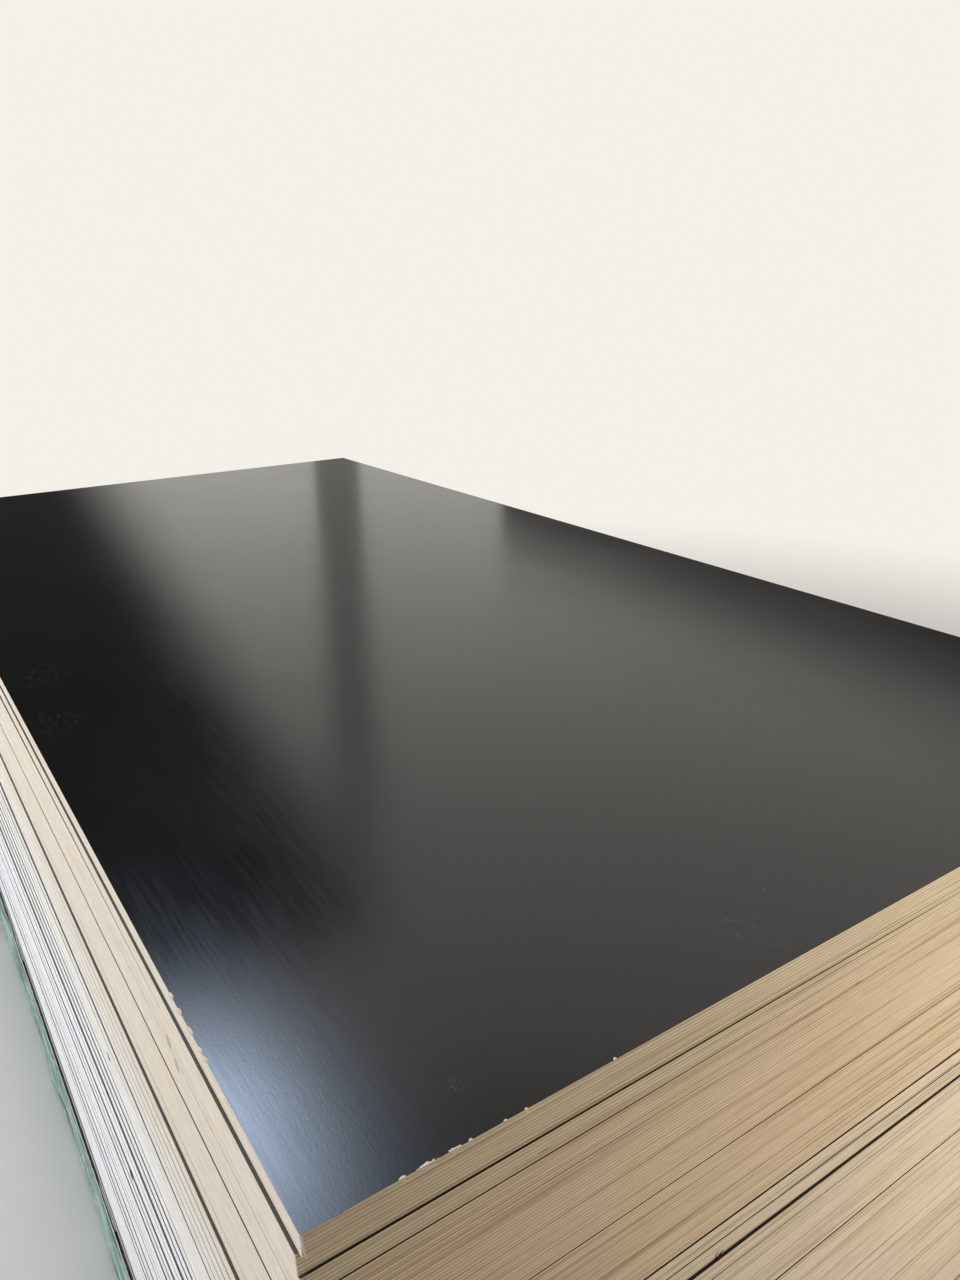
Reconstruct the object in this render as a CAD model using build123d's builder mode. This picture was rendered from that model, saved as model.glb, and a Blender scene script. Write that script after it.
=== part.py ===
from build123d import *
import math
import os
import random

# An opened pack of film-faced plywood, lying flat on the timber pallet it came on.
# Millimetres, +Z up. The origin is on the floor, under the middle of the pallet.
# X runs across the sheets, Y along them, and the near left corner is at -X -Y.

# One sheet: a standard board of crossed veneers with a phenolic film on both faces.
sheet_width = 1220.0
sheet_length = 2440.0
sheet_thickness = 18.0
sheet_corner_wear = 1.5

# The sheets lie as the pack travelled: in nine lots that slid and turned as blocks, from the top
# down. A lot's slide is how far its first sheet lies to the left of the top sheet, its set back
# is from the near end, and its turn is in degrees, anticlockwise from above. Each of the three
# has a creep, which is what every next sheet of the lot adds to it.
lot_counts = (1, 2, 8, 5, 5, 4, 4, 7, 7)
lot_slides = (0.0, 2.2, 1.85, 4.65, 6.4, 7.95, 10.0, 11.2, 13.2)
slide_creeps = (0.0, 0.85, 0.02, 0.12, 0.1, 1.1, 0.97, 0.12, 0.05)
lot_set_backs = (0.0, 4.5, 2.9, 4.6, -0.7, -1.1, -0.6, 0.2, 0.6)
set_back_creeps = (0.0, -1.4, 0.0, -0.3, 0.0, 0.0, 0.0, 0.0, 0.0)
lot_turns = (0.0, -0.03, 0.2, 0.12, 0.15, 0.38, 0.58, 0.49, 0.44)
turn_creeps = (0.0, 0.13, -0.01, -0.02, 0.055, 0.03, -0.03, -0.012, -0.073)

# Slides are taken this far from the near end, and set backs this far from the left corner: a
# turned sheet swings about these two places.
slide_station = 620.0
set_back_station = 300.0

# The sheets that stick out of their lot: their number, and how much further they lie to the left
# and towards the near end. All the others are within a hand's accuracy of their lot.
stray_sheets = (4, 5, 7, 8, 9, 10, 15, 16, 18, 19, 20, 21, 24, 27, 33, 35, 36, 37)
strays_left = (
    0.0, 0.0, 0.7, 0.7, 0.5, 0.0, 0.0, 0.0, 0.2,
    -0.3, -0.2, 0.2, 0.8, 0.3, 0.4, 0.7, -0.5, -0.8,
)
strays_near = (
    0.4, 0.7, 0.0, 0.0, -0.3, 0.4, 0.8, 1.1, 0.5,
    0.8, -1.0, -0.6, 0.2, 0.0, 0.0, 0.3, 0.0, 0.0,
)
hand_scatter = 0.1
scatter_seed = 18

# The pallet, made to the size of the sheets: long deck boards laid on bearers that run across.
pallet_width = sheet_width
pallet_length = sheet_length
deck_board_count = 5
deck_board_width = 140.0
deck_board_thickness = 25.0
bearer_count = 4
bearer_width = 95.0
bearer_height = 95.0
bearer_inset = 45.0
sawn_arris = 2.0
sheet_inside_pallet = 1.65

# What was left of the plastic wrap when the pack was cut open: a strip that stands round the
# foot of the left side, slack, with a turn round each end of the pallet.
wrap_thickness = 1.0
wrap_slack = 0.5
wrap_flare = 5.0
wrap_below_deck = 10.0
wrap_off_floor = 4.0
wrap_turn = 190.0
wrap_corner_radius = 14.0

deck_top = bearer_height + deck_board_thickness
sheet_count = sum(lot_counts)
stack_top = deck_top + sheet_count * sheet_thickness
foot_slide = lot_slides[-1] + (lot_counts[-1] - 1) * slide_creeps[-1]
top_sheet_x = foot_slide + sheet_inside_pallet

os.makedirs("parts", exist_ok=True)


def keep(builder, name):
    """Label a finished piece and write it as its own STEP file."""
    builder.part.label = name
    export_step(builder.part, f"parts/{name}.step")
    size = builder.part.bounding_box().size
    print(f"{name}: {size.X:.1f} x {size.Y:.1f} x {size.Z:.1f} mm")


# The sheets, numbered from the top of the stack down. A sheet is placed by its middle, so its
# turn also moves it, by what it swings between the station and the middle.
scatter = random.Random(scatter_seed)
number = 0
strays = dict(zip(stray_sheets, zip(strays_left, strays_near)))
for lot in range(len(lot_counts)):
    for place_in_lot in range(lot_counts[lot]):
        number += 1
        stray_left, stray_near = strays.get(number, (0.0, 0.0))
        at_rest = 0.0 if number == 1 else hand_scatter
        slide = lot_slides[lot] + place_in_lot * slide_creeps[lot] + stray_left
        set_back = lot_set_backs[lot] + place_in_lot * set_back_creeps[lot] - stray_near
        turn = lot_turns[lot] + place_in_lot * turn_creeps[lot]
        swing_left = math.radians(turn) * (sheet_length / 2 - slide_station)
        swing_back = math.radians(turn) * (sheet_width / 2 - set_back_station)
        x = top_sheet_x - slide - swing_left + scatter.uniform(-at_rest, at_rest)
        y = set_back + swing_back + scatter.uniform(-at_rest, at_rest)
        under_face = stack_top - number * sheet_thickness
        bed = Plane(origin=(x, y, under_face), z_dir=(0, 0, 1)).rotated((0, 0, turn))
        with BuildPart() as sheet:
            with BuildSketch(bed):
                RectangleRounded(sheet_width, sheet_length, sheet_corner_wear)
            extrude(amount=sheet_thickness)
        keep(sheet, f"sheet_{number:02d}")

# The deck boards, from the left side to the right.
board_pitch = (pallet_width - deck_board_width) / (deck_board_count - 1)
for i in range(deck_board_count):
    x = -pallet_width / 2 + deck_board_width / 2 + i * board_pitch
    with BuildPart() as deck_board:
        with BuildSketch(Plane.XY.offset(bearer_height)):
            with Locations((x, 0)):
                Rectangle(deck_board_width, pallet_length)
        extrude(amount=deck_board_thickness)
        chamfer(deck_board.edges().filter_by(Axis.Y), sawn_arris)
    keep(deck_board, f"deck_board_{i + 1}")

# The bearers, from the near end to the far one.
bearer_run = pallet_length - 2 * bearer_inset - bearer_width
bearer_pitch = bearer_run / (bearer_count - 1)
for i in range(bearer_count):
    y = -bearer_run / 2 + i * bearer_pitch
    with BuildPart() as bearer:
        with BuildSketch(Plane.XY):
            with Locations((0, y)):
                Rectangle(pallet_width, bearer_width)
        extrude(amount=bearer_height)
        chamfer(bearer.edges().filter_by(Axis.X), sawn_arris)
    keep(bearer, f"bearer_{i + 1}")

# The wrap: a thin wall that leans out towards its hem, round the left side and its two corners.
wrap_top = bearer_height - wrap_below_deck
with BuildPart() as wrap:
    for skin, mode in ((wrap_thickness, Mode.ADD), (0.0, Mode.SUBTRACT)):
        for level, lean in ((wrap_off_floor, wrap_flare), (wrap_top, 0.0)):
            stand_off = wrap_slack + lean + skin
            with BuildSketch(Plane.XY.offset(level)):
                RectangleRounded(
                    pallet_width + 2 * stand_off,
                    pallet_length + 2 * stand_off,
                    wrap_corner_radius + skin,
                )
        loft(mode=mode)
    bare = pallet_width + wrap_flare + wrap_slack + wrap_thickness - wrap_turn
    with BuildSketch(Plane.XY):
        with Locations((-pallet_width / 2 + wrap_turn + bare / 2, 0)):
            Rectangle(bare, 2 * pallet_length)
    extrude(amount=deck_top, mode=Mode.SUBTRACT)
keep(wrap, "wrap")

print(f"{sheet_count} sheets, top of the stack {stack_top:.0f} mm above the floor")
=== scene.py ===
# %% [markdown]
# # An opened pack of film-faced plywood
# The subject is a stack of forty-three boards of film-faced plywood on the timber pallet that it
# came on, with a torn strip of green packing film left round its foot. This file dresses the packed
# model: every board, deck board and bearer keeps its own shape and gets a finish, and the strip of
# film, the splinters and the chips are modelled here. It could be done with photographs pasted on
# the faces, but a finish that is worked out from the board's real build holds up at any distance.

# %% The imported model
import math
import random

import bmesh
import bpy
from mathutils import Matrix, Vector, noise


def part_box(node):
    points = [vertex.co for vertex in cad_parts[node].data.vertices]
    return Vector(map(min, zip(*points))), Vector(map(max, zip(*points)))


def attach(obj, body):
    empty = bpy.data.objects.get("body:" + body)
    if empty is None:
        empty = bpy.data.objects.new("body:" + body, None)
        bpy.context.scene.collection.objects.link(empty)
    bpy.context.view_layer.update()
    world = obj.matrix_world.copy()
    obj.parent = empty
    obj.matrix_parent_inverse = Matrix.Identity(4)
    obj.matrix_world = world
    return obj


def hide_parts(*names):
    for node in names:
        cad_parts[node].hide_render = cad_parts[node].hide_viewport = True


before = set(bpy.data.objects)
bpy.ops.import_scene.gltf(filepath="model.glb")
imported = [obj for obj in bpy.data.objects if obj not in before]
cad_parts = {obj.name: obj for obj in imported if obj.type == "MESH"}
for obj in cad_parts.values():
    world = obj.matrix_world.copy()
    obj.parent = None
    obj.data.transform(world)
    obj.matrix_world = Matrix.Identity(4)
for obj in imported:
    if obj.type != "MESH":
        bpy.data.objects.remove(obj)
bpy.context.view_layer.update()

# %% [markdown]
# ## Sizes
# The sizes that the finishes follow are read from the model itself, so that the painted veneers
# land on the real edges. Lengths are written in millimetres, as on a drawing, and turned to metres
# by one factor.

# %% Sizes read from the model
mm = 0.001
boards = sorted(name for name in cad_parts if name.startswith("sheet_"))
top_low, top_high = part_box(boards[0])
board_thickness = top_high.z - top_low.z
near_corner = Vector((top_low.x, top_low.y, top_high.z))
corner_mm = near_corner / mm
deck_low, deck_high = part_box("deck_board_1")
left_side = deck_low.x / mm
print(len(boards), "boards of", round(board_thickness / mm, 2), "mm, near corner", near_corner)

# %% [markdown]
# ## Colours
# Finish colours are written as the sRGB hex values that a paint chart or a photo editor shows, and
# one function turns them to the linear light that the renderer works in. Typing linear numbers
# would work too, but nobody can picture them.


# %% Colour from a hex value
def linear(hex_value):
    """Linear RGBA of an sRGB colour such as 'C9AE86'."""
    channels = [int(hex_value[i : i + 2], 16) / 255 for i in (0, 2, 4)]
    light = [c / 12.92 if c <= 0.04045 else ((c + 0.055) / 1.055) ** 2.4 for c in channels]
    return (*light, 1.0)


print("birch edge in linear light", [round(c, 3) for c in linear("C9AE86")])

# %% [markdown]
# ## Building a material
# A material is a small tree of nodes. One helper adds a node, sets its settings, and either links
# or sets each of its inputs. It hands back the node's first live output, so that one step can be
# written straight into the next, as in a formula. Inputs go by number where names repeat: a Map
# Range turns its value at 0 from the range 1 to 2 into 3 to 4, which are 0 to 1 unless set, and a
# colour Mix goes from 6 to 7 by its factor at 0.


# %% One helper for every node, and one for the end of a finish
def add(tree, kind, inputs=None, **settings):
    """Add a shader node and return its first live output."""
    node = tree.nodes.new("ShaderNode" + kind)
    for name, value in settings.items():
        setattr(node, name, value)
    for socket, value in (inputs or {}).items():
        if isinstance(value, bpy.types.NodeSocket):
            tree.links.new(value, node.inputs[socket])
        else:
            node.inputs[socket].default_value = value
    return next((output for output in node.outputs if output.enabled), None)


def new_material(name):
    """An empty material and its node tree."""
    material = bpy.data.materials.new(name)
    material.use_nodes = True
    material.node_tree.nodes.clear()
    return material, material.node_tree


def finish_solid(tree, colour, roughness, relief, relief_mm=1.0, ior=1.5):
    """End a finish: its relief as a bump, its shader, and the material's output."""
    bump = add(tree, "Bump", {"Height": relief, "Distance": relief_mm * mm, "Strength": 1.0})
    shader = add(tree, "BsdfPrincipled", {
        "Base Color": colour, "Roughness": roughness, "IOR": ior, "Normal": bump})
    add(tree, "OutputMaterial", {"Surface": shader})


print("helpers ready")

# %% [markdown]
# ## Where a point is
# Every pattern below starts from the point's place in the model, in millimetres. For the boards
# the depth is also counted in board thicknesses from the top face, which says which board it is
# and how far down its edge. Unwrapped UVs could carry the same, but the place needs no unwrapping
# and keeps the grain running true round a corner.

# %% Place nodes
plies = 11


def place_in_mm(tree):
    """The point's place in the model, in millimetres."""
    place = tree.nodes.new("ShaderNodeTexCoord").outputs["Object"]
    return add(tree, "VectorMath", {0: place, "Scale": 1 / mm}, operation="SCALE")


def stretched(tree, place, size_mm):
    """The place divided by a grain size (x, y, z), for a pattern with one feature per size."""
    scale = tuple(1 / s for s in size_mm)
    return add(tree, "VectorMath", {0: place, 1: scale}, operation="MULTIPLY")


print("a board has", plies, "plies of", round(board_thickness / mm / plies, 2), "mm")

# %% [markdown]
# ## The sawn edge of the boards
# The edge is birch and poplar veneer, peeled 1.6 mm thick, glued crosswise with dark phenolic
# resin and cut by a panel saw. On the near end the eye sees an even comb: a veneer cut across its
# grain drinks the light and the next one, cut along it, is paler. The long sides are dressed more
# finely, so the comb almost goes and long pale streaks of the cut fibres are left. The stripes
# could be modelled, but 470 veneers are far finer than the outline, so they are painted from the
# height in the board.


# %% Where a point lies on the edge
def edge_place(tree, place):
    """The depth in mm, the board, the share of the board's height, and the place in plies."""
    height = add(tree, "SeparateXYZ", {0: place}).node.outputs["Z"]
    depth = add(tree, "Math", {0: top_high.z / mm, 1: height}, operation="SUBTRACT")
    boards_down = add(tree, "Math", {0: depth, 1: board_thickness / mm}, operation="DIVIDE")
    board = add(tree, "Math", {0: boards_down}, operation="FLOOR")
    within = add(tree, "Math", {0: boards_down}, operation="FRACT")

    # A peeled veneer is never quite even, so the stripes wander by a fifth of a ply in 200 mm.
    drift = add(tree, "TexNoise", {
        "Vector": stretched(tree, place, (200, 200, 40)), "Scale": 1.0})
    drift = add(tree, "Math", {0: drift, 1: 0.4, 2: -0.2}, operation="MULTIPLY_ADD")
    plies_down = add(tree, "Math", {0: within, 1: float(plies), 2: drift}, operation="MULTIPLY_ADD")
    return depth, board, within, plies_down


def by_side(tree, is_side, near_end, long_side):
    """A number that differs between the near end and the long sides."""
    return add(tree, "MapRange", {0: is_side, 3: near_end, 4: long_side})


print("edge measured")

# %% [markdown]
# ### Each board's own tone
# Boards of one press run share a tone. The first three boards are greyer, and those under the
# fourteenth are greyer and paler. On the long sides the boards get paler and cooler with depth:
# that is painted light, for the strong light that falls on the low boards there.

# %% Tone of a board's edge
greyer_boards = 3.0
upper_boards = 14.0
pale_light_start, pale_light_end = 190.0, 420.0


def edge_tone(tree, place, is_side, depth, board):
    """Colour of the board's edge, its luck from 0 to 1, and how much painted light pales its side.
    """
    label = add(tree, "CombineXYZ", {0: board, 1: is_side})
    board_luck = add(tree, "TexWhiteNoise", {"Vector": label})
    first_run = add(tree, "MapRange", {
        0: board, 1: greyer_boards - 1, 2: greyer_boards, 3: 1.0, 4: 0.0})
    lower_run = add(tree, "MapRange", {0: board, 1: upper_boards - 1, 2: upper_boards})
    # The near end is darker and warmer than the long sides: partly its sawn grain, partly painted
    # shade for the dimmer, warmer light that falls on the near end.
    end_colour = add(tree, "Mix", {0: first_run, 6: linear("CDB495"), 7: linear("CAB697")},
                     data_type="RGBA")
    end_colour = add(tree, "Mix", {0: lower_run, 6: end_colour, 7: linear("D0BEA4")},
                     data_type="RGBA")
    # Painted light: deep down on the long sides the edge turns paler and cooler, for the strong
    # light that falls on the low boards there.
    painted_light_share = add(tree, "MapRange", {0: depth, 1: pale_light_start, 2: pale_light_end})
    side_colour = add(tree, "Mix", {0: painted_light_share, 6: linear("E2D5C4"), 7: linear("F6F6F7")},
                      data_type="RGBA")
    colour = add(tree, "Mix", {0: is_side, 6: end_colour, 7: side_colour}, data_type="RGBA")

    # Soft brown stains run along the plies on the near end, and are faint on the long sides.
    stain = add(tree, "TexNoise", {
        "Vector": stretched(tree, place, (230, 230, 3.2)), "Scale": 1.0, "Detail": 3.0})
    stain = add(tree, "MapRange", {0: stain, 1: 0.5, 2: 0.7})
    stain_depth = by_side(tree, is_side, 0.66, 0.12)
    stain = add(tree, "Math", {0: stain, 1: stain_depth}, operation="MULTIPLY")
    colour = add(tree, "Mix", {0: stain, 6: colour, 7: linear("8F6F4B")}, data_type="RGBA")
    return colour, board_luck, painted_light_share


print("the first", round(greyer_boards), "and the first", round(upper_boards), "boards differ")

# %% [markdown]
# ### Comb, streaks and pores
# One sine wave for two plies makes the comb. Over it every veneer and board has its own level, and
# noises of a few real sizes give the long streaks of fibre, clouds, fine streaks and pores. Each
# swings the brightness by one amount on the near end and by another on the long sides.


# %% Grain of a board's edge
def edge_grain(tree, place, is_side, colour, board, board_luck, plies_down):
    """Colour with its grain, the relief in mm, and every veneer's luck from 0 to 1."""
    comb = add(tree, "Math", {0: plies_down, 1: math.pi}, operation="MULTIPLY")
    comb = add(tree, "Math", {0: comb}, operation="SINE")
    comb_depth = by_side(tree, is_side, 0.21, -0.03)
    shade = add(tree, "Math", {0: comb, 1: comb_depth, 2: 1.0}, operation="MULTIPLY_ADD")
    ply = add(tree, "Math", {0: plies_down}, operation="FLOOR")
    label = add(tree, "CombineXYZ", {0: board, 1: ply, 2: is_side})
    veneer_luck = add(tree, "TexWhiteNoise", {"Vector": label})
    long_streak = add(tree, "TexNoise", {
        "Vector": stretched(tree, place, (330, 330, 1.3)), "Scale": 1.0, "Detail": 2.0})
    fine_streak = add(tree, "TexNoise", {
        "Vector": stretched(tree, place, (70, 70, 0.7)), "Scale": 1.0, "Detail": 2.0})
    clouds = add(tree, "TexNoise", {
        "Vector": stretched(tree, place, (22, 22, 4)), "Scale": 1.0, "Detail": 3.0})
    pores = add(tree, "TexNoise", {
        "Vector": stretched(tree, place, (1.3, 1.3, 0.8)), "Scale": 1.0, "Detail": 1.0})
    for pattern, near_end, long_side in (
            (veneer_luck, 0.03, 0.015), (board_luck, 0.04, 0.025), (long_streak, 0.12, 0.22),
            (clouds, 0.25, 0.42), (fine_streak, 0.16, 0.16), (pores, 0.16, 0.10)):
        swing = by_side(tree, is_side, near_end, long_side)
        level = add(tree, "Math", {0: pattern, 1: 0.5}, operation="SUBTRACT")
        level = add(tree, "Math", {0: level, 1: swing, 2: 1.0}, operation="MULTIPLY_ADD")
        shade = add(tree, "Math", {0: shade, 1: level}, operation="MULTIPLY")
    colour = add(tree, "VectorMath", {0: colour, "Scale": shade}, operation="SCALE")

    # On the long sides some streaks are warmer and some cooler.
    tint = add(tree, "TexNoise", {
        "Vector": stretched(tree, place, (90, 90, 4.5)), "Scale": 1.0, "Detail": 4.0})
    for low, high, dye, most in ((0.52, 0.7, "E3C9A6", 0.55), (0.48, 0.3, "D6D8CC", 0.4)):
        amount = add(tree, "MapRange", {0: tint, 1: low, 2: high, 3: 0.0, 4: most})
        amount = add(tree, "Math", {0: amount, 1: is_side}, operation="MULTIPLY")
        colour = add(tree, "Mix", {0: amount, 6: colour, 7: linear(dye)}, data_type="RGBA")

    relief = add(tree, "Math", {0: fine_streak, 1: 0.12}, operation="MULTIPLY")
    relief = add(tree, "Math", {0: pores, 1: 0.08, 2: relief}, operation="MULTIPLY_ADD")
    return colour, relief, veneer_luck


print("grain ready")

# %% [markdown]
# ### Knots, glue lines and the films' own edge
# Pin knots and gaps in the core are dark spots, strewn by a cell pattern. Four larger knots on the
# left side have a place of their own. Here and there the glue between two veneers shows as a brown
# hair. The two faces' film is a dark hair at the top and the foot of each board's edge: the saw
# smeared it on most near ends, but not on the boards round the wide gap, and it stands out most on
# the pale low boards.

# %% Marks on a board's edge
# A large knot: mm along and mm down from the near left corner, and its strength.
left_side_knots = ((593, 328, 1.0), (553, 471, 1.0), (272, 67, 0.4), (255, 78, 0.35))
# One over its half size in mm: wide enough across for boards that slid, 17 mm long and 13 mm high.
knot_weights = (0.01, 0.12, 0.15)
# The wide gap is under board 16, and the films show on boards 14 to 17. Counted from none, these
# are the four within 1.6 of 14.5.
gap_place, gap_reach = 14.5, 1.6
# A film's hair starts and is full this far from the middle of the edge, in board thicknesses.
hair_start, hair_full = 0.470, 0.487


def knots_and_glue(tree, place, colour, plies_down, veneer_luck):
    """Colour with knots and glue lines, and how deep a pin knot is, from 0 to 1."""
    # A pin knot is 9 mm long and half a ply high, in one cell of seventy.
    cell = add(tree, "TexVoronoi", {
        "Vector": stretched(tree, place, (38, 38, 4.0)), "Scale": 1.0})
    cell_luck = add(tree, "SeparateXYZ", {0: cell.node.outputs["Color"]})
    is_knot = add(tree, "Math", {0: cell_luck, 1: 0.985}, operation="GREATER_THAN")
    pin_knot = add(tree, "MapRange", {0: cell, 1: 0.05, 2: 0.2, 3: 0.7, 4: 0.0})
    pin_knot = add(tree, "Math", {0: pin_knot, 1: is_knot}, operation="MULTIPLY")
    colour = add(tree, "Mix", {0: pin_knot, 6: colour, 7: linear("4A3723")}, data_type="RGBA")

    for along, down, strength in left_side_knots:
        spot = corner_mm + Vector((0, along, -down))
        offset = add(tree, "VectorMath", {0: place, 1: tuple(spot)}, operation="SUBTRACT")
        offset = add(tree, "VectorMath", {0: offset, 1: knot_weights}, operation="MULTIPLY")
        offset = add(tree, "VectorMath", {0: offset}, operation="LENGTH").node.outputs["Value"]
        mark = add(tree, "MapRange", {0: offset, 1: 0.7, 2: 1.0, 3: strength, 4: 0.0})
        colour = add(tree, "Mix", {0: mark, 6: colour, 7: linear("3A2F25")}, data_type="RGBA")

    # The glue's hair is 0.15 mm wide, drawn twice as wide.
    in_ply = add(tree, "Math", {0: plies_down}, operation="FRACT")
    glue = add(tree, "MapRange", {0: in_ply, 1: 0.05, 2: 0.25, 3: 1.0, 4: 0.0})
    glued = add(tree, "MapRange", {0: veneer_luck, 1: 0.55, 2: 1.0, 3: 0.0, 4: 0.55})
    glue = add(tree, "Math", {0: glue, 1: glued}, operation="MULTIPLY")
    colour = add(tree, "Mix", {0: glue, 6: colour, 7: linear("6B4E33")}, data_type="RGBA")
    return colour, pin_knot


def film_hairs(tree, is_side, colour, board, board_luck, within, painted_light_share):
    """Colour with the dark hairs of the two faces' film."""
    half = add(tree, "Math", {0: within, 1: 0.5}, operation="SUBTRACT")
    half = add(tree, "Math", {0: half}, operation="ABSOLUTE")
    film = add(tree, "MapRange", {0: half, 1: hair_start, 2: hair_full})
    on_pale = add(tree, "Math", {0: is_side, 1: painted_light_share}, operation="MULTIPLY")
    by_gap = add(tree, "Math", {0: board, 1: gap_place, 2: gap_reach}, operation="COMPARE")
    shown = add(tree, "MapRange", {0: board_luck, 1: 0.3, 4: 0.6})
    for where, much in ((on_pale, 0.75), (by_gap, 0.8)):
        shown = add(tree, "Math", {0: where, 1: much, 2: shown}, operation="MULTIPLY_ADD")
    shown = add(tree, "Math", {0: shown, 1: 1.0}, operation="MINIMUM")
    film = add(tree, "Math", {0: film, 1: shown}, operation="MULTIPLY")
    return add(tree, "Mix", {0: film, 6: colour, 7: linear("221910")}, data_type="RGBA")


def veneer_edge(tree, place, is_side):
    """Colour and relief in mm of the sawn edge; is_side is 1 on the long sides."""
    depth, board, within, plies_down = edge_place(tree, place)
    colour, board_luck, painted_light_share = edge_tone(tree, place, is_side, depth, board)
    colour, relief, veneer_luck = edge_grain(
        tree, place, is_side, colour, board, board_luck, plies_down)
    colour, pin_knot = knots_and_glue(tree, place, colour, plies_down, veneer_luck)
    colour = film_hairs(tree, is_side, colour, board, board_luck, within, painted_light_share)
    relief = add(tree, "Math", {0: pin_knot, 1: -0.5, 2: relief}, operation="MULTIPLY_ADD")
    return colour, relief


print("veneer edge ready, with", len(left_side_knots), "placed knots")

# %% [markdown]
# ## The phenolic film on the faces
# The faces are paper soaked in phenolic resin, pressed on hot. It comes out almost black with a
# soft gloss, and the grain of the veneer below prints through as a very faint streak along the
# board. A plastic of IOR about 1.5 with a medium-low roughness is what the eye expects. Handling
# leaves dust, dull wipes and fine scratches.

# %% Film face
# How deep the paper's print-through and the long grain are, in mm.
print_depth, grain_depth = 0.027, 0.006


def film_face(tree, place):
    """Colour, roughness and relief in mm of the pressed film."""
    print_through = add(tree, "TexNoise", {
        "Vector": stretched(tree, place, (1.5, 4.5, 4.5)), "Scale": 1.0, "Detail": 3.0})
    long_grain = add(tree, "TexNoise", {
        "Vector": stretched(tree, place, (2.6, 80, 80)), "Scale": 1.0, "Detail": 2.0})
    wiped = add(tree, "TexNoise", {
        "Vector": stretched(tree, place, (160, 260, 160)), "Scale": 1.0, "Detail": 4.0})
    colour = add(tree, "Mix", {
        0: wiped, 6: linear("070707"), 7: linear("100F0E")}, data_type="RGBA")
    roughness = add(tree, "MapRange", {0: wiped, 1: 0.3, 2: 0.7, 3: 0.15, 4: 0.19})
    grain = add(tree, "MapRange", {0: long_grain, 1: 0.35, 2: 0.65, 3: -0.015, 4: 0.02})
    roughness = add(tree, "Math", {0: roughness, 1: grain}, operation="ADD")

    # Dust: a fleck about every 60 mm, drawn at 1.2 mm, and a finer one every 16 mm.
    for spacing, reach, strength in ((60.0, 0.012, 0.6), (16.0, 0.018, 0.18)):
        cell = add(tree, "TexVoronoi", {
            "Vector": stretched(tree, place, (spacing,) * 3), "Scale": 1.0})
        fleck = add(tree, "MapRange", {
            0: cell, 1: reach * 0.4, 2: reach, 3: strength, 4: 0.0})
        colour = add(tree, "Mix", {0: fleck, 6: colour, 7: linear("9A958C")}, data_type="RGBA")
        roughness = add(tree, "Math", {0: roughness, 1: fleck}, operation="ADD")

    relief = add(tree, "Math", {0: print_through, 1: print_depth}, operation="MULTIPLY")
    relief = add(tree, "Math", {0: long_grain, 1: grain_depth, 2: relief}, operation="MULTIPLY_ADD")
    return colour, roughness, relief


print("film face ready")

# %% [markdown]
# ## What handling did to the top board
# Only the top board has been touched. Its near edges have lost crumbs of film, so pale birch shows
# in nicks a millimetre or two wide, and in four places something scraped the face. Each mark has
# its place in millimetres from the near left corner, and noise gives it its broken shape.

# %% Marks on the top board
# A scrape: mm across, mm along, and its reach. A chip: mm along its edge, and half its length.
scrapes = ((46, 1010, 62), (36, 830, 50), (418, 43, 44), (131, 45, 14))
chips_near_end = ((67, 2.5), (84, 7.5), (104, 4.5), (116, 2.0), (143, 1.5), (159, 1.5), (236, 1.5))
chips_long_side = ((162, 4.0), (173, 3.0), (196, 5.5), (220, 4.0), (241, 5.0))
chip_depth = 1.7
no_chip = 9.0


def handled(tree, place, colour, roughness):
    """The top board's face with its scrapes and the chips along its near edges."""
    corner = add(tree, "VectorMath", {0: place, 1: tuple(corner_mm)}, operation="SUBTRACT")
    hairs = add(tree, "TexNoise", {
        "Vector": stretched(tree, place, (2.2, 9, 9)), "Scale": 1.0, "Detail": 4.0})
    hair = add(tree, "MapRange", {0: hairs, 1: 0.58, 2: 0.68})
    for across, along, reach in scrapes:
        offset = add(tree, "VectorMath", {0: corner, 1: (across, along, 0)}, operation="DISTANCE")
        offset = offset.node.outputs["Value"]
        inside = add(tree, "MapRange", {0: offset, 1: reach * 0.2, 2: reach, 3: 1.0, 4: 0.0})
        scrape = add(tree, "Math", {0: hair, 1: inside}, operation="MULTIPLY")
        scrape = add(tree, "Math", {0: scrape, 1: 0.10}, operation="MULTIPLY")
        colour = add(tree, "Mix", {0: scrape, 6: colour, 7: linear("A39D92")}, data_type="RGBA")
        roughness = add(tree, "Math", {0: roughness, 1: scrape}, operation="ADD")

    # A chip is an oval half off the edge. The nearest one counts, in shares of its own reach, and
    # noise of 0.5 on average breaks its rim, which lies where share and noise add up to 1.6.
    crumbs = add(tree, "TexNoise", {
        "Vector": stretched(tree, place, (2.5, 2.5, 2.5)), "Scale": 1.0, "Detail": 2.0})
    ovals = [((at, 0), (half, chip_depth)) for at, half in chips_near_end]
    ovals += [((0, at), (chip_depth, half)) for at, half in chips_long_side]
    nearest = no_chip
    for (x, y), (reach_x, reach_y) in ovals:
        offset = add(tree, "VectorMath", {0: corner, 1: (x, y, 0)}, operation="SUBTRACT")
        offset = add(tree, "VectorMath", {
            0: offset, 1: (1 / reach_x, 1 / reach_y, 0)}, operation="MULTIPLY")
        share = add(tree, "VectorMath", {0: offset}, operation="LENGTH").node.outputs["Value"]
        nearest = add(tree, "Math", {0: nearest, 1: share}, operation="MINIMUM")
    nearest = add(tree, "Math", {0: crumbs, 1: 1.6, 2: nearest}, operation="MULTIPLY_ADD")
    chip = add(tree, "MapRange", {0: nearest, 1: 1.75, 2: 1.6})
    colour = add(tree, "Mix", {0: chip, 6: colour, 7: linear("EDE3D2")}, data_type="RGBA")
    roughness = add(tree, "Mix", {0: chip, 2: roughness, 3: 0.85})
    return colour, roughness


print(len(scrapes), "scrapes and", len(chips_near_end + chips_long_side), "chips")

# %% The boards' materials
ledge_fade = 6.0


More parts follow.
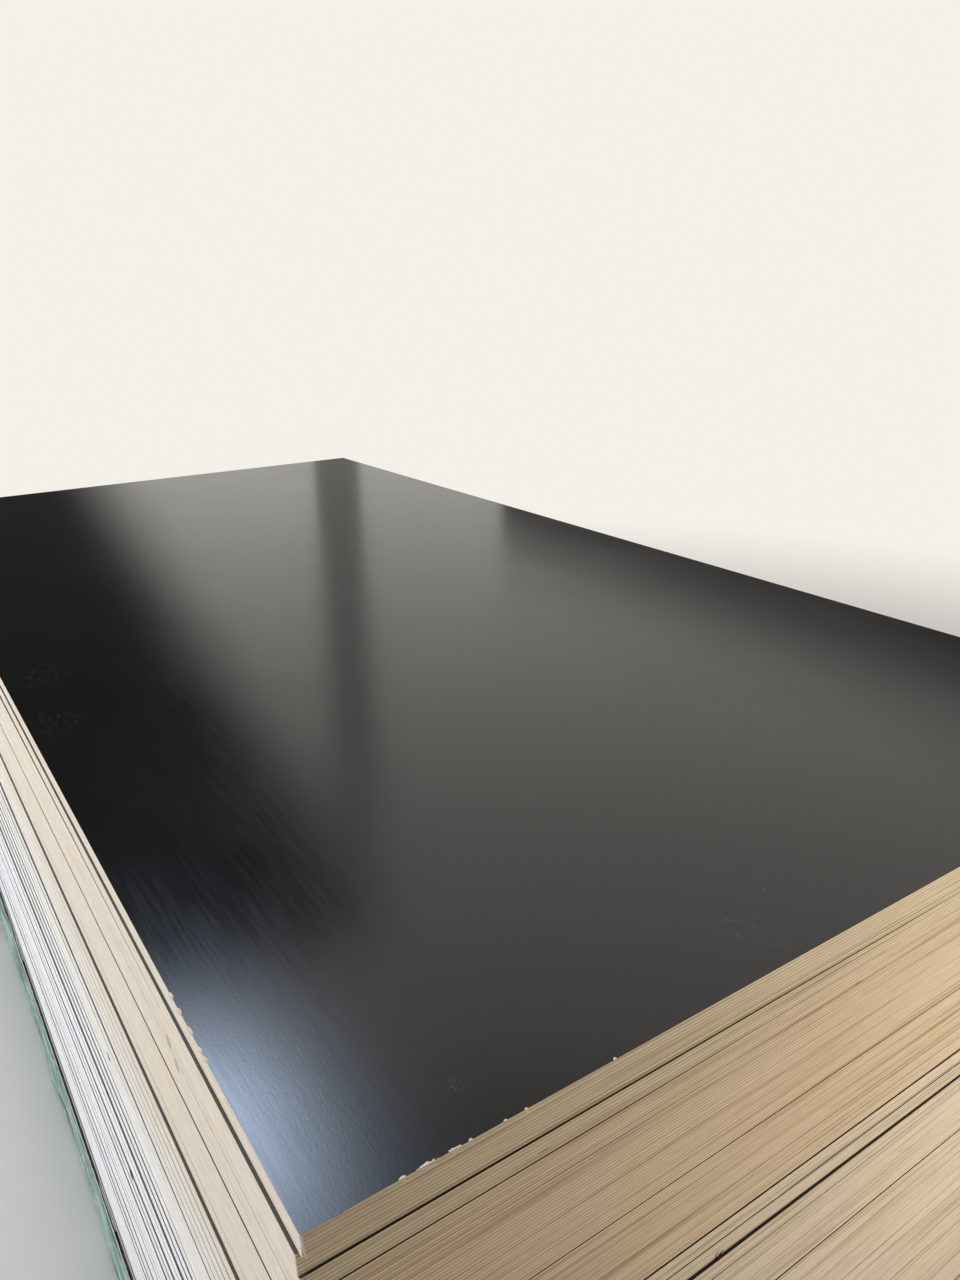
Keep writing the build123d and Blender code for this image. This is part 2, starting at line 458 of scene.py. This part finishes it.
def film_faced_plywood(name, touched):
    """Sawn veneer edge and pressed film in one material, chosen by which way the face looks."""
    material, tree = new_material(name)
    place = place_in_mm(tree)
    facing = tree.nodes.new("ShaderNodeTexCoord").outputs["Normal"]
    facing = add(tree, "VectorMath", {0: facing}, operation="ABSOLUTE")
    parts = add(tree, "SeparateXYZ", {0: facing}).node.outputs
    is_face = add(tree, "Math", {0: parts["Z"], 1: 0.7}, operation="GREATER_THAN")
    is_side = add(tree, "Math", {0: parts["X"], 1: 0.7}, operation="GREATER_THAN")
    edge_colour, edge_relief = veneer_edge(tree, place, is_side)
    face_colour, face_roughness, face_relief = film_face(tree, place)
    if touched:
        face_colour, face_roughness = handled(tree, place, face_colour, face_roughness)
    else:
        # Sawdust has settled on the ledges where the lower boards stick out on the left.
        across = add(tree, "SeparateXYZ", {0: place}).node.outputs["X"]
        dust = add(tree, "MapRange", {
            0: across, 1: corner_mm.x + ledge_fade, 2: corner_mm.x, 3: 0.0, 4: 0.7})
        face_colour = add(tree, "Mix", {
            0: dust, 6: face_colour, 7: linear("68645F")}, data_type="RGBA")
        face_roughness = add(tree, "Math", {0: face_roughness, 1: 0.3}, operation="ADD")
    colour = add(tree, "Mix", {0: is_face, 6: edge_colour, 7: face_colour}, data_type="RGBA")
    roughness = add(tree, "Mix", {0: is_face, 2: 0.82, 3: face_roughness})
    relief = add(tree, "Mix", {0: is_face, 2: edge_relief, 3: face_relief})
    finish_solid(tree, colour, roughness, relief)
    return material


def dress(node, material):
    """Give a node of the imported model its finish."""
    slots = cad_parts[node].data.materials
    slots.clear()
    slots.append(material)


top_plywood = film_faced_plywood("birch_plywood_with_phenolic_film_handled", True)
plywood = film_faced_plywood("birch_plywood_with_phenolic_film", False)
for name in boards:
    dress(name, top_plywood if name == boards[0] else plywood)
print(len(boards), "boards have their finish")

# %% [markdown]
# ## The pallet's timber
# Deck boards and bearers are rough-sawn spruce. A flat grain picture would look pasted on where a
# long face meets an end, so the pattern is solid: it is drawn out along the grain and cut by the
# piece's own faces. The ends then show spots and arcs of the same grain that streaks the sides.
# The saw leaves fine ridges across the grain, and the yard leaves grey dirt.

# %% Sawn timber
# In mm: how high the dark top arris is, dirt and painted shade, and how far under it the
# painted shade of the foot is gone and is full.
dark_arris_height = 4.0
foot_shade_gone, foot_shade_full = 6.0, 8.5


def rough_sawn_spruce(name, grain, clean_height):
    """Spruce with its grain along a unit vector; dirt and painted shade on its arris above a height
    in mm.
    """
    material, tree = new_material(name)
    place = place_in_mm(tree)
    luck = tree.nodes.new("ShaderNodeObjectInfo").outputs["Random"]
    moved = add(tree, "VectorMath", {0: (700, 500, 300), "Scale": luck}, operation="SCALE")
    here = add(tree, "VectorMath", {0: place, 1: moved}, operation="ADD")

    def along_grain(long_mm, cross_mm):
        return stretched(tree, here, [long_mm if g else cross_mm for g in grain])

    ring = add(tree, "TexNoise", {
        "Vector": along_grain(900, 9), "Scale": 1.0, "Detail": 1.5, "Distortion": 0.6})
    fibre = add(tree, "TexNoise", {"Vector": along_grain(45, 0.8), "Scale": 1.0, "Detail": 2.0})
    dirt = add(tree, "TexNoise", {"Vector": along_grain(160, 45), "Scale": 1.0, "Detail": 5.0})
    knot = add(tree, "TexVoronoi", {"Vector": along_grain(260, 90), "Scale": 1.0})

    ring_tone = add(tree, "MapRange", {0: ring, 1: 0.36, 2: 0.6})
    colour = add(tree, "Mix", {
        0: ring_tone, 6: linear("F8F5EF"), 7: linear("E6DDCD")}, data_type="RGBA")
    knot_tone = add(tree, "MapRange", {0: knot, 1: 0.04, 2: 0.10, 3: 0.85, 4: 0.0})
    colour = add(tree, "Mix", {0: knot_tone, 6: colour, 7: linear("6E4A2B")}, data_type="RGBA")
    shade = add(tree, "MapRange", {0: fibre, 1: 0.3, 2: 0.7, 3: 0.86, 4: 1.06})
    colour = add(tree, "VectorMath", {0: colour, "Scale": shade}, operation="SCALE")
    grime = add(tree, "MapRange", {0: dirt, 1: 0.5, 2: 0.8, 3: 0.0, 4: 0.4})
    colour = add(tree, "Mix", {0: grime, 6: colour, 7: linear("8A857C")}, data_type="RGBA")

    # Under a board that hangs over, the arris is darker: its dirt, with painted shade from the
    # board above. On the left side the foot is painted black: painted shade in the gap between the
    # timber and the packing film.
    height = add(tree, "SeparateXYZ", {0: place}).node.outputs["Z"]
    arris_dirt_and_shade = add(tree, "MapRange", {
        0: height, 1: clean_height - 1.5, 2: clean_height + 1.5, 3: 0.0, 4: 0.85})
    foot = add(tree, "MapRange", {
        0: height, 1: clean_height - foot_shade_full, 2: clean_height - foot_shade_gone, 3: 0.94, 4: 0.0})
    across = add(tree, "SeparateXYZ", {0: place}).node.outputs["X"]
    on_left = add(tree, "MapRange", {0: across, 1: left_side + 1, 2: left_side + 3, 3: 1.0, 4: 0.0})
    foot = add(tree, "Math", {0: foot, 1: on_left}, operation="MULTIPLY")
    for darkening, dye in ((arris_dirt_and_shade, "4A453E"), (foot, "15171A")):
        colour = add(tree, "Mix", {0: darkening, 6: colour, 7: linear(dye)}, data_type="RGBA")

    saw = add(tree, "TexNoise", {
        "Vector": stretched(tree, here, [1.7 if g else 60 for g in grain]), "Scale": 1.0})
    relief = add(tree, "Math", {0: saw, 1: 0.45}, operation="MULTIPLY")
    relief = add(tree, "Math", {0: fibre, 1: 0.3, 2: relief}, operation="MULTIPLY_ADD")
    finish_solid(tree, colour, 0.85, relief)
    return material


for kind, grain in (("deck_board", (0, 1, 0)), ("bearer", (1, 0, 0))):
    clean_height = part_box(kind + "_1")[1].z / mm - dark_arris_height
    timber = rough_sawn_spruce("rough_sawn_spruce_" + kind, grain, clean_height)
    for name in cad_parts:
        if name.startswith(kind):
            dress(name, timber)
print("pallet timber done")

# %% [markdown]
# ## The torn strip of packing film: its finish
# Green polyethylene film, about a tenth of a millimetre thick, was wound round the pack and cut
# open. It is a soft plastic of IOR 1.51 with a satin skin: its folds catch light, and the colour
# is paler where several layers cling together. The torn edge has rolled over on itself into a pale
# cord, whose paleness is its layers with a painted highlight, and a deep fold runs along just
# under it, whose dark band is painted shade.

# %% Packing film finish
film_wander = 14.0
roll_height, fold_depth = 9.0, 21.0


def green_polyethylene(name, roll_foot, fold):
    """Creased green packing film; heights in mm of the roll's foot and of the fold's middle."""
    material, tree = new_material(name)
    place = place_in_mm(tree)
    height = add(tree, "SeparateXYZ", {0: place}).node.outputs["Z"]
    crease = add(tree, "TexNoise", {
        "Vector": stretched(tree, place, (16, 16, 9)), "Scale": 1.0, "Detail": 4.0})
    layers = add(tree, "TexNoise", {
        "Vector": stretched(tree, place, (150, 150, 16)), "Scale": 1.0, "Detail": 3.0})
    smear = add(tree, "TexNoise", {
        "Vector": stretched(tree, place, (60, 60, 9)), "Scale": 1.0, "Detail": 5.0})
    tone = add(tree, "MapRange", {0: layers, 1: 0.36, 2: 0.64})
    colour = add(tree, "Mix", {0: tone, 6: linear("40644F"), 7: linear("A5C6B4")},
                 data_type="RGBA")
    dust = add(tree, "MapRange", {0: smear, 1: 0.5, 2: 0.75, 3: 0.0, 4: 0.4})
    colour = add(tree, "Mix", {0: dust, 6: colour, 7: linear("B9C9BF")}, data_type="RGBA")

    # Sharp creases are white: the film whitened there, with a painted highlight on the crests. They
    # are thin lines where one noise crosses its middle, in places.
    folds = add(tree, "TexNoise", {
        "Vector": stretched(tree, place, (60, 60, 22)), "Scale": 1.0, "Detail": 3.0})
    folds = add(tree, "Math", {0: folds, 1: 0.5}, operation="SUBTRACT")
    folds = add(tree, "Math", {0: folds}, operation="ABSOLUTE")
    whitened_and_lit = add(tree, "MapRange", {0: folds, 1: 0.006, 2: 0.022, 3: 0.8, 4: 0.0})
    sharp = add(tree, "MapRange", {0: smear, 1: 0.5, 2: 0.6})
    whitened_and_lit = add(tree, "Math", {0: whitened_and_lit, 1: sharp}, operation="MULTIPLY")
    colour = add(tree, "Mix", {0: whitened_and_lit, 6: colour, 7: linear("EAF2EC")}, data_type="RGBA")

    # The fold and the roll wander up and down along the strip, by noise of 0.5 on average.
    wander = add(tree, "TexNoise", {
        "Vector": stretched(tree, place, (90, 90, 90)), "Scale": 1.0, "Detail": 3.0})
    level = add(tree, "Math", {0: wander, 1: film_wander, 2: height}, operation="MULTIPLY_ADD")
    off_fold = add(tree, "Math", {0: level, 1: fold + film_wander / 2}, operation="SUBTRACT")
    off_fold = add(tree, "Math", {0: off_fold}, operation="ABSOLUTE")
    shadow = add(tree, "MapRange", {0: off_fold, 1: 2.0, 2: 7.0, 3: 0.75, 4: 0.0})
    colour = add(tree, "Mix", {0: shadow, 6: colour, 7: linear("25332B")}, data_type="RGBA")
    # The roll's pale band is its layers of film with a painted highlight along the torn edge.
    foot = roll_foot + film_wander / 2
    rolled_cord_and_highlight = add(tree, "MapRange", {0: level, 1: foot - 2, 2: foot + 2, 3: 0.0, 4: 0.75})
    colour = add(tree, "Mix", {0: rolled_cord_and_highlight, 6: colour, 7: linear("C3CCC4")}, data_type="RGBA")

    roughness = add(tree, "MapRange", {0: smear, 1: 0.4, 2: 0.7, 3: 0.3, 4: 0.6})
    finish_solid(tree, colour, roughness, crease, relief_mm=1.6, ior=1.51)
    return material


wrap_low, wrap_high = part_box("wrap")
film_top = wrap_high.z / mm
packing_film = green_polyethylene(
    "green_polyethylene_film", film_top - roll_height, film_top - fold_depth)
print("packing film finish ready, torn edge at", round(film_top), "mm")

# %% [markdown]
# ## The torn strip of packing film: its shape
# The strip is one sheet, so it is made as one grid: its columns follow the path round the left
# side of the pallet, its rows go from the hem on the floor to the torn edge. Each point is pushed
# out by slow waves, by sharper creases, by the rolled edge and by a flare at the hem. Cloth
# simulation could drape it, but film this stiff keeps the creases it was packed with, which noise
# draws well.

# %% The path that the strip follows
film_hem = wrap_low.z / mm
film_turn = wrap_high.x / mm - left_side
film_flare = 8.5
film_corner = 14.0
column_step = 5.0
corner_steps = 5


def film_path():
    """Points and outward directions round the foot, in mm, from the near end to the far one."""
    left, near, far = left_side, deck_low.y / mm, deck_high.y / mm
    legs = (
        ((left + film_turn, near), (left + film_corner, near), (0, -1)),
        ((left, near + film_corner), (left, far - film_corner), (-1, 0)),
        ((left + film_corner, far), (left + film_turn, far), (0, 1)),
    )
    turns = (
        ((left + film_corner, near + film_corner), 270, 180),
        ((left + film_corner, far - film_corner), 180, 90),
    )
    path = []
    for i, (start, end, out) in enumerate(legs):
        start, end, out = Vector(start), Vector(end), Vector(out)
        count = max(2, round((end - start).length / column_step))
        path += [(start.lerp(end, k / count), out) for k in range(count + 1)]
        if i < len(turns):
            centre, a0, a1 = turns[i]
            for k in range(1, corner_steps):
                angle = math.radians(a0 + (a1 - a0) * k / corner_steps)
                out = Vector((math.cos(angle), math.sin(angle)))
                path.append((Vector(centre) + film_corner * out, out))
    return path


print("the strip turns the corners by", round(film_turn), "mm")

# %% [markdown]
# ### Waves, creases, roll and fold
# Slow waves are 150 mm long, creases 38 mm and fine ones 14 mm. Creased film has sharp crests, so
# the creases are noise with its middle turned to a ridge. The roll of the torn edge is at 95 % of
# the strip's height and the fold under it at 80 %.


# %% Packing film relief
def ridged(point):
    """Noise with sharp crests, up to 1."""
    return 1 - abs(noise.noise(point)) * 2.2


def hump(t, middle, width):
    """A smooth hump of height 1 round its middle."""
    return math.exp(-(((t - middle) / width) ** 2))


def stand_off(run, z, t):
    """How far the strip stands out, in mm, at a run along it, a height and a share t of that."""
    wave = 0.5 + 0.5 * noise.noise(Vector((run / 150, z / 160, 7)))
    crease = ridged(Vector((run / 38 + z / 60, z / 45, 2)))
    fine = ridged(Vector((run / 14 - z / 26, z / 17, 5)))
    push = 0.8 + film_flare * (1 - t) * (0.4 + 0.9 * wave) + 1.0 * crease * (1.4 - t * t)
    roll = hump(t, 0.95, 0.045) * (1.2 + 0.9 * wave)
    fold = hump(t, 0.80, 0.05) * 1.1
    return push + 0.45 * fine + roll - fold


print("the strip's near hem stands out by", round(stand_off(0, film_hem, 0), 1), "mm")

# %% Packing film shape
film_rows = 24
below_top = 4.5
hem_lift = 14.0
least_gap = 0.6


def in_scene(name, data):
    """A new object of this mesh, lamp or camera, linked to the scene."""
    thing = bpy.data.objects.new(name, data)
    bpy.context.scene.collection.objects.link(thing)
    return thing


def packing_film_strip():
    """The strip as one mesh object, and its length in mm."""
    shape = bmesh.new()
    columns = []
    run = 0.0
    path = film_path()
    last = path[0][0]
    for point, out in path:
        run += (point - last).length
        last = point
        torn = 1.8 * noise.noise(Vector((run / 70, 0, 3)))
        torn += 1.4 * noise.noise(Vector((run / 14, 0, 9)))
        top = film_top - below_top + torn
        hem = film_hem + max(0.0, noise.noise(Vector((run / 130, 5, 1)))) * hem_lift
        column = []
        for r in range(film_rows + 1):
            t = r / film_rows
            z = hem + (top - hem) * t
            spot = point + out * max(least_gap, stand_off(run, z, t))
            column.append(shape.verts.new((spot.x * mm, spot.y * mm, z * mm)))
        columns.append(column)
    for a, b in zip(columns, columns[1:]):
        for r in range(film_rows):
            face = shape.faces.new((a[r], a[r + 1], b[r + 1], b[r]))
            face.smooth = True
    mesh = bpy.data.meshes.new("packing_film_strip")
    shape.to_mesh(mesh)
    shape.free()
    return in_scene("packing_film_strip", mesh), run


strip, strip_length = packing_film_strip()
strip.data.materials.append(packing_film)
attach(strip, "root")
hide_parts("wrap")

# %% [markdown]
# ## Splinters
# A saw tears a few slivers out of the edge. They are a millimetre or two wide, so each is a small
# wedge of its own: a strip of cross sections that tapers to a point and curls a little. All of
# them share one mesh. One sliver is of black film and stands in the widest joint.


# %% Splinters
def sliver(shape, start, end, width, thickness, curl):
    """Add a tapering sliver from start to end, in mm, that curls towards the given vector."""
    start, end, curl = Vector(start), Vector(end), Vector(curl)
    axis = (end - start).normalized()
    side = axis.cross(curl).normalized()
    sections = []
    steps = 4
    for k in range(steps + 1):
        t = k / steps
        middle = start.lerp(end, t) + curl * t * t
        half = side * width / 2 * (1 - 0.85 * t)
        skin = curl.normalized() * thickness / 2 * (1 - 0.6 * t)
        corners = [middle - half - skin, middle + half - skin, middle + half + skin,
                   middle - half + skin]
        sections.append([shape.verts.new(tuple(c * mm)) for c in corners])
    for a, b in zip(sections, sections[1:]):
        for i in range(4):
            j = (i + 1) % 4
            shape.faces.new((a[i], a[j], b[j], b[i]))
    shape.faces.new(reversed(sections[0]))
    shape.faces.new(sections[-1])


def piece(name, shape, material):
    """Turn a bmesh into a piece that rides on the stack."""
    bmesh.ops.recalc_face_normals(shape, faces=shape.faces)
    mesh = bpy.data.meshes.new(name)
    shape.to_mesh(mesh)
    shape.free()
    thing = in_scene(name, mesh)
    thing.data.materials.append(material)
    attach(thing, "root")
    return thing


def fresh_birch(name):
    """Torn birch, paler than the sawn edge."""
    material, tree = new_material(name)
    fibre = add(tree, "TexNoise", {
        "Vector": stretched(tree, place_in_mm(tree), (1.2, 1.2, 1.2)), "Scale": 1.0})
    colour = add(tree, "Mix", {0: fibre, 6: linear("CDBB9E"), 7: linear("EFE6D4")},
                 data_type="RGBA")
    finish_solid(tree, colour, 0.8, fibre, relief_mm=0.2)
    return material


print("sliver helpers ready")

# %% [markdown]
# ### The slivers in their places
# A sliver of birch hangs in each chip of the film, and a long one at the near left corner. The
# sliver of black film stands in the widest joint, under board 16. Lengths and leans come from one
# seeded source of chance, so that each run gives the same.

# %% Birch splinters
luck = random.Random(7)
shape = bmesh.new()
for at, reach in chips_near_end:
    long_mm = reach * luck.uniform(0.9, 1.4)
    drop = luck.uniform(0.9, 1.6)
    start = corner_mm + Vector((at - reach * 0.5, -0.1, -drop))
    end = start + Vector((long_mm, -luck.uniform(0.4, 1.1), -luck.uniform(0.0, 0.8)))
    sliver(shape, start, end, 1.3, 0.9, (0, -0.5, 0.1))
for at, reach in chips_long_side:
    start = corner_mm + Vector((-0.1, at - reach * 0.5, -luck.uniform(0.9, 1.4)))
    end = start + Vector((-luck.uniform(0.4, 1.0), reach * luck.uniform(0.9, 1.4), -0.5))
    sliver(shape, start, end, 1.2, 0.8, (-0.5, 0, 0.1))
sliver(shape, corner_mm + Vector((0.6, -0.2, -1.0)), corner_mm + Vector((1.4, -1.4, -17.0)),
       2.2, 0.7, (0.3, -1.2, 0))
splinters = piece("birch_splinters", shape, fresh_birch("torn_birch"))
print("splinters:", len(splinters.data.polygons), "faces")

# %% Sliver of film
sliver_across = 364
shape = bmesh.new()
joint_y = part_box("sheet_16")[0].y / mm
joint_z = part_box("sheet_17")[1].z / mm
sliver(shape, (corner_mm.x + sliver_across, joint_y - 1.6, joint_z - 0.6),
       (corner_mm.x + sliver_across + 3, joint_y - 2.0, joint_z + 10.0), 3.2, 0.4, (1.2, -0.8, 0))
torn_film, tree = new_material("torn_phenolic_film")
speckle = add(tree, "TexNoise", {
    "Vector": stretched(tree, place_in_mm(tree), (0.8, 0.8, 0.8)), "Scale": 1.0})
paint = add(tree, "Mix", {0: speckle, 6: linear("080706"), 7: linear("241D17")}, data_type="RGBA")
shader = add(tree, "BsdfPrincipled", {"Base Color": paint, "Roughness": 0.45, "IOR": 1.5})
add(tree, "OutputMaterial", {"Surface": shader})
film_sliver = piece("film_sliver", shape, torn_film)
print("film sliver:", len(film_sliver.data.polygons), "faces")

# %% [markdown]
# ## Floor
# A plain pale floor, painted matt. It stays a real floor round the stack, so that it carries the
# stack's shadow, and further out it fades into the same pale tone as the background, so that no
# horizon shows.

# %% Floor
backdrop_colour = linear("F3F0E8")
fade_start, fade_end = 2.0, 4.6
bpy.ops.mesh.primitive_plane_add(size=60, location=(0, 0, 0))
floor = bpy.context.object
floor.name = "studio_floor"
floor_paint, tree = new_material("pale_matt_floor_paint")
paint = add(tree, "BsdfPrincipled", {"Base Color": linear("DBD9D4"), "Roughness": 0.75})
reach = add(tree, "VectorMath", {
    0: tree.nodes.new("ShaderNodeTexCoord").outputs["Object"]}, operation="LENGTH")
fade = add(tree, "MapRange", {0: reach.node.outputs["Value"], 1: fade_start, 2: fade_end},
           interpolation_type="SMOOTHSTEP")
far_tone = add(tree, "Emission", {"Color": backdrop_colour, "Strength": 1.0})
surface = add(tree, "MixShader", {0: fade, 1: paint, 2: far_tone})
add(tree, "OutputMaterial", {"Surface": surface})
floor.data.materials.append(floor_paint)
print("floor laid, gone at", fade_end, "m from the stack's middle")

# %% [markdown]
# ## The room
# Black film shows the room more than it shows itself, so the room is part of the finish. The camera
# and the reflections see a pale room whose ceiling is dimmer, and the surfaces get an even, low
# fill from it.

# %% Room
ceiling_start, ceiling_full = math.radians(42), math.radians(49)
ceiling_level = 0.35
fill_level = 0.11
world = bpy.data.worlds.new("studio")
world.use_nodes = True
tree = world.node_tree
tree.nodes.clear()
direction = tree.nodes.new("ShaderNodeTexCoord").outputs["Generated"]
rise = add(tree, "SeparateXYZ", {0: direction}).node.outputs["Z"]
wall = add(tree, "MapRange", {
    0: rise, 1: math.sin(ceiling_start), 2: math.sin(ceiling_full), 3: 1.0, 4: ceiling_level},
    interpolation_type="SMOOTHSTEP")
path = tree.nodes.new("ShaderNodeLightPath").outputs
seen = add(tree, "Math", {0: path["Is Camera Ray"], 1: path["Is Glossy Ray"]}, operation="ADD")
seen = add(tree, "Math", {0: seen, 1: path["Is Transmission Ray"]}, operation="ADD",
           use_clamp=True)
pale_room = add(tree, "Background", {"Color": backdrop_colour, "Strength": wall})
fill = add(tree, "Background", {"Color": linear("F2F4F8"), "Strength": fill_level})
surface = add(tree, "MixShader", {0: seen, 1: fill, 2: pale_room})
add(tree, "OutputWorld", {"Surface": surface})
bpy.context.scene.world = world
print("room ready")

# %% [markdown]
# ## Lights
# A wide cool softbox on the left lights the long edges like a yard door. A slightly warmer one
# before the near end has a honeycomb grid, which narrows its beam, so that the short edges fall off
# towards the corner. A wide one overhead keeps the floor pale, and one behind lights the right side
# and the far end. The gloss shows none of them, as a lamp's outline would spoil a black face. Lamps
# are placed in metres from the middle of the top face, so that they suit a higher pack too.

# %% Lights
top_middle = Vector(((top_low.x + top_high.x) / 2, (top_low.y + top_high.y) / 2, top_high.z))


def softbox(name, place, target, size, power, colour, beam=180):
    """A rectangular area light; its place and target are from the middle of the top face."""
    lamp = bpy.data.lights.new(name, "AREA")
    lamp.shape = "RECTANGLE"
    lamp.size, lamp.size_y = size
    lamp.energy = power
    lamp.color = linear(colour)[:3]
    lamp.spread = math.radians(beam)
    holder = in_scene(name, lamp)
    holder.location = top_middle + Vector(place)
    holder.rotation_mode = "QUATERNION"
    holder.rotation_quaternion = (Vector(target) - Vector(place)).to_track_quat("-Z", "Y")
    holder.visible_camera = False
    holder.visible_glossy = False


softbox("key_from_left", (-3.2, 0.3, 0.8), (-0.6, 0.0, -0.4), (2.8, 1.6), 79, "F2F7FF")
softbox("near_end", (0.55, -3.2, 0.3), (0.39, -1.22, -0.25), (0.5, 0.7), 5.35, "FFFCF7", 58)
softbox("overhead", (0.6, 0.6, 2.2), (0.6, 0.6, 0), (3.0, 3.4), 60, "FFFFFF")
softbox("behind", (2.6, 2.6, 2.1), (1.8, 2.0, -0.9), (2.0, 2.0), 30, "FFFFFF")
print("four softboxes")

# %% [markdown]
# ## The sheen on the film
# A sky-blue glow lies on the film by the near corner. A lamp would draw its own outline there, so
# this is a sheet of diffuser overhead that glows in its middle and fades to nothing, and only the
# reflections see it.

# %% Glowing diffuser
glow_middle = near_corner + Vector((0.39, 1.90, 1.90))
glow_reach = Vector((0.18, 0.33, 1.0))
glow_strength = 18.0
half_width, half_length = 0.9, 1.3


def hang_panel(name, corners, cloth, unseen_by):
    """Hang a flat panel of cloth in the studio, which some kinds of ray don't see."""
    mesh = bpy.data.meshes.new(name)
    mesh.from_pydata(corners, [], [range(len(corners))])
    mesh.materials.append(cloth)
    panel = in_scene(name, mesh)
    for kind in unseen_by:
        setattr(panel, "visible_" + kind, False)


def silk_diffuser(name):
    """Silk whose glow falls off as a bell curve from its middle."""
    silk, tree = new_material(name)
    place = tree.nodes.new("ShaderNodeTexCoord").outputs["Object"]
    offset = add(tree, "VectorMath", {0: place, 1: tuple(glow_middle)}, operation="SUBTRACT")
    offset = add(tree, "VectorMath", {0: offset, 1: tuple(glow_reach)}, operation="DIVIDE")
    spread = add(tree, "VectorMath", {0: offset, 1: offset}, operation="DOT_PRODUCT")
    spread = add(tree, "Math", {0: spread.node.outputs["Value"], 1: -0.5}, operation="MULTIPLY")
    bell = add(tree, "Math", {0: spread}, operation="EXPONENT")
    strength = add(tree, "Math", {0: bell, 1: glow_strength}, operation="MULTIPLY")
    glow = add(tree, "Emission", {"Color": linear("CCE1FF"), "Strength": strength})
    holes = add(tree, "BsdfTransparent")
    surface = add(tree, "AddShader", {0: glow, 1: holes})
    add(tree, "OutputMaterial", {"Surface": surface})
    return silk


corners = [glow_middle + Vector((x * half_width, y * half_length, 0))
           for x, y in ((-1, -1), (1, -1), (1, 1), (-1, 1))]
hang_panel("glowing_diffuser", corners, silk_diffuser("silk_diffuser"),
           ("camera", "diffuse", "transmission", "shadow", "volume_scatter"))
print("diffuser hung at", [round(v, 2) for v in glow_middle])

# %% [markdown]
# ## Flags
# A photographer keeps a black board glossy and deep by standing black panels where the board would
# mirror the pale room. A hard-edged panel would show its outline in the gloss, so these are of thin
# black net, whose density fades out at the edge. One stands far left behind the stack, a low one
# runs along the right, and a narrow one hangs between them. Only the reflections see them.


# %% Flags
def net_flag(name, outline, fade, offset, softness, density):
    """A net panel, in metres from the top face's middle, thick where fade . place > offset."""
    net, tree = new_material("black_net_" + name)
    place = tree.nodes.new("ShaderNodeTexCoord").outputs["Object"]
    place = add(tree, "VectorMath", {0: place, 1: tuple(top_middle)}, operation="SUBTRACT")
    inward = add(tree, "VectorMath", {0: place, 1: fade}, operation="DOT_PRODUCT")
    cover = add(tree, "MapRange", {
        0: inward.node.outputs["Value"], 1: offset - softness, 2: offset + softness,
        3: 0.0, 4: density}, interpolation_type="SMOOTHSTEP")
    thread = add(tree, "BsdfPrincipled", {"Base Color": linear("0C0C0E"), "Roughness": 1.0})
    holes = add(tree, "BsdfTransparent")
    surface = add(tree, "MixShader", {0: cover, 1: holes, 2: thread})
    add(tree, "OutputMaterial", {"Surface": surface})
    corners = [top_middle + Vector(c) for c in outline]
    hang_panel(name, corners, net, ("camera", "diffuse", "shadow"))


def standing(start, end, low, high):
    """Corners of an upright panel between two points on plan and two heights."""
    return [(*start, low), (*end, low), (*end, high), (*start, high)]


# The far left flag's inner edge leans: 0.56 m up it is 0.4 m right of the middle, and with each
# metre up it goes this much further right.
lean = 0.435
net_flag("far_left", standing((-5.0, 3.2), (2.2, 3.2), 0.0, 3.4), (-1, 0, lean),
         0.56 * lean - 0.40, 0.24, 0.96)
net_flag("slot", standing((1.36, 3.15), (1.62, 3.15), 0.1, 3.3), (0, 0, -1), -2.7, 0.9, 0.68)
net_flag("right", standing((2.6, -1.4), (2.6, 3.2), 0.0, 1.3), (0, 0, -1), -1.0, 0.22, 0.95)
print("three flags")

# %% [markdown]
# ## Camera
# The camera stands where a person would, at the near left corner and half a metre above the top
# board, and looks along the boards towards the far right corner. Place, aim and lens were worked
# out from the top board's four edges, whose real lengths are known.

# %% Camera
from_corner_mm = Vector((-130.1, -394.1, 503.5))
forward = Vector((0.51625, 0.78527, -0.34181))
upward = Vector((0.20151, 0.27653, 0.93964))
camera_data = bpy.data.cameras.new("view")
camera_data.sensor_fit = "VERTICAL"
camera_data.sensor_height = 36.0
camera_data.lens = 27.22
camera = in_scene("view", camera_data)
bpy.context.scene.camera = camera
camera.location = near_corner + from_corner_mm * mm
turned = Matrix((forward.cross(upward), upward, -forward)).transposed()
camera.rotation_mode = "QUATERNION"
camera.rotation_quaternion = turned.to_quaternion()
bpy.context.scene.view_settings.view_transform = "Standard"
print("camera at", [round(v, 3) for v in camera.location])
